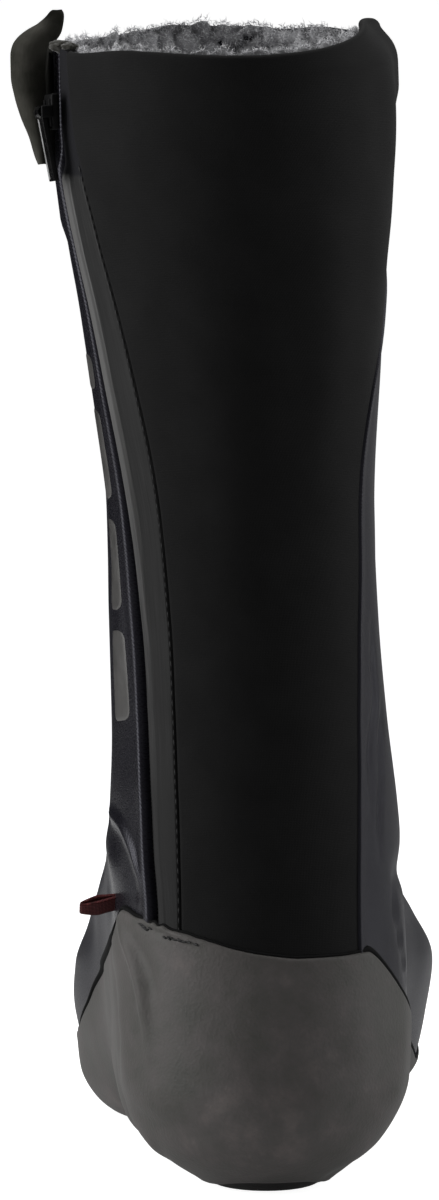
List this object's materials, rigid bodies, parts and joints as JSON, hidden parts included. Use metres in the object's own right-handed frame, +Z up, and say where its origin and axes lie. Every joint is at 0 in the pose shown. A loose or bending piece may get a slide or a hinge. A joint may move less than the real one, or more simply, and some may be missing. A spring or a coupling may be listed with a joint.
{
  "type": "winter cycling overshoe",
  "caption": "Tall fleece-lined softshell overshoe with a rear side zip, grey rubberised heel guard and rand, black sole panel with a cleat window and a small tape loop.",
  "frame": {"origin": "middle of the part's plan box, on the floor that the sole stands on", "axes": "+Y towards the toe, +Z up, -X towards the outer side of this left overshoe"},
  "size_m": [0.1356, 0.3047, 0.3482],
  "materials": {
    "softshell": "dull black softshell, satin on the side panels",
    "sole_rubber": "matte",
    "rand": "satin grey",
    "zip_tape": "satin water-resistant film",
    "zip_black": "gloss",
    "flap_cloth": "brushed, dull",
    "red_tape": "woven tape"
  },
  "bodies": {
    "overshoe": {"upper": "softshell", "sole": "sole_rubber", "heel_guard": "rand", "zip_tape": "zip_tape", "zip_slider": "zip_black", "zip_flap": "flap_cloth", "tag_loop": "red_tape"},
    "pull": {"zip_pull": "zip_black"}
  },
  "joints": [
    {"name": "pull_swing", "type": "hinge", "parent": "overshoe", "child": "pull", "pos_m": [-0.05837, -0.11071, 0.3181], "axis": [-0.2403, 0.9673, -0.0808], "range_deg": [0, 150]}
  ]
}
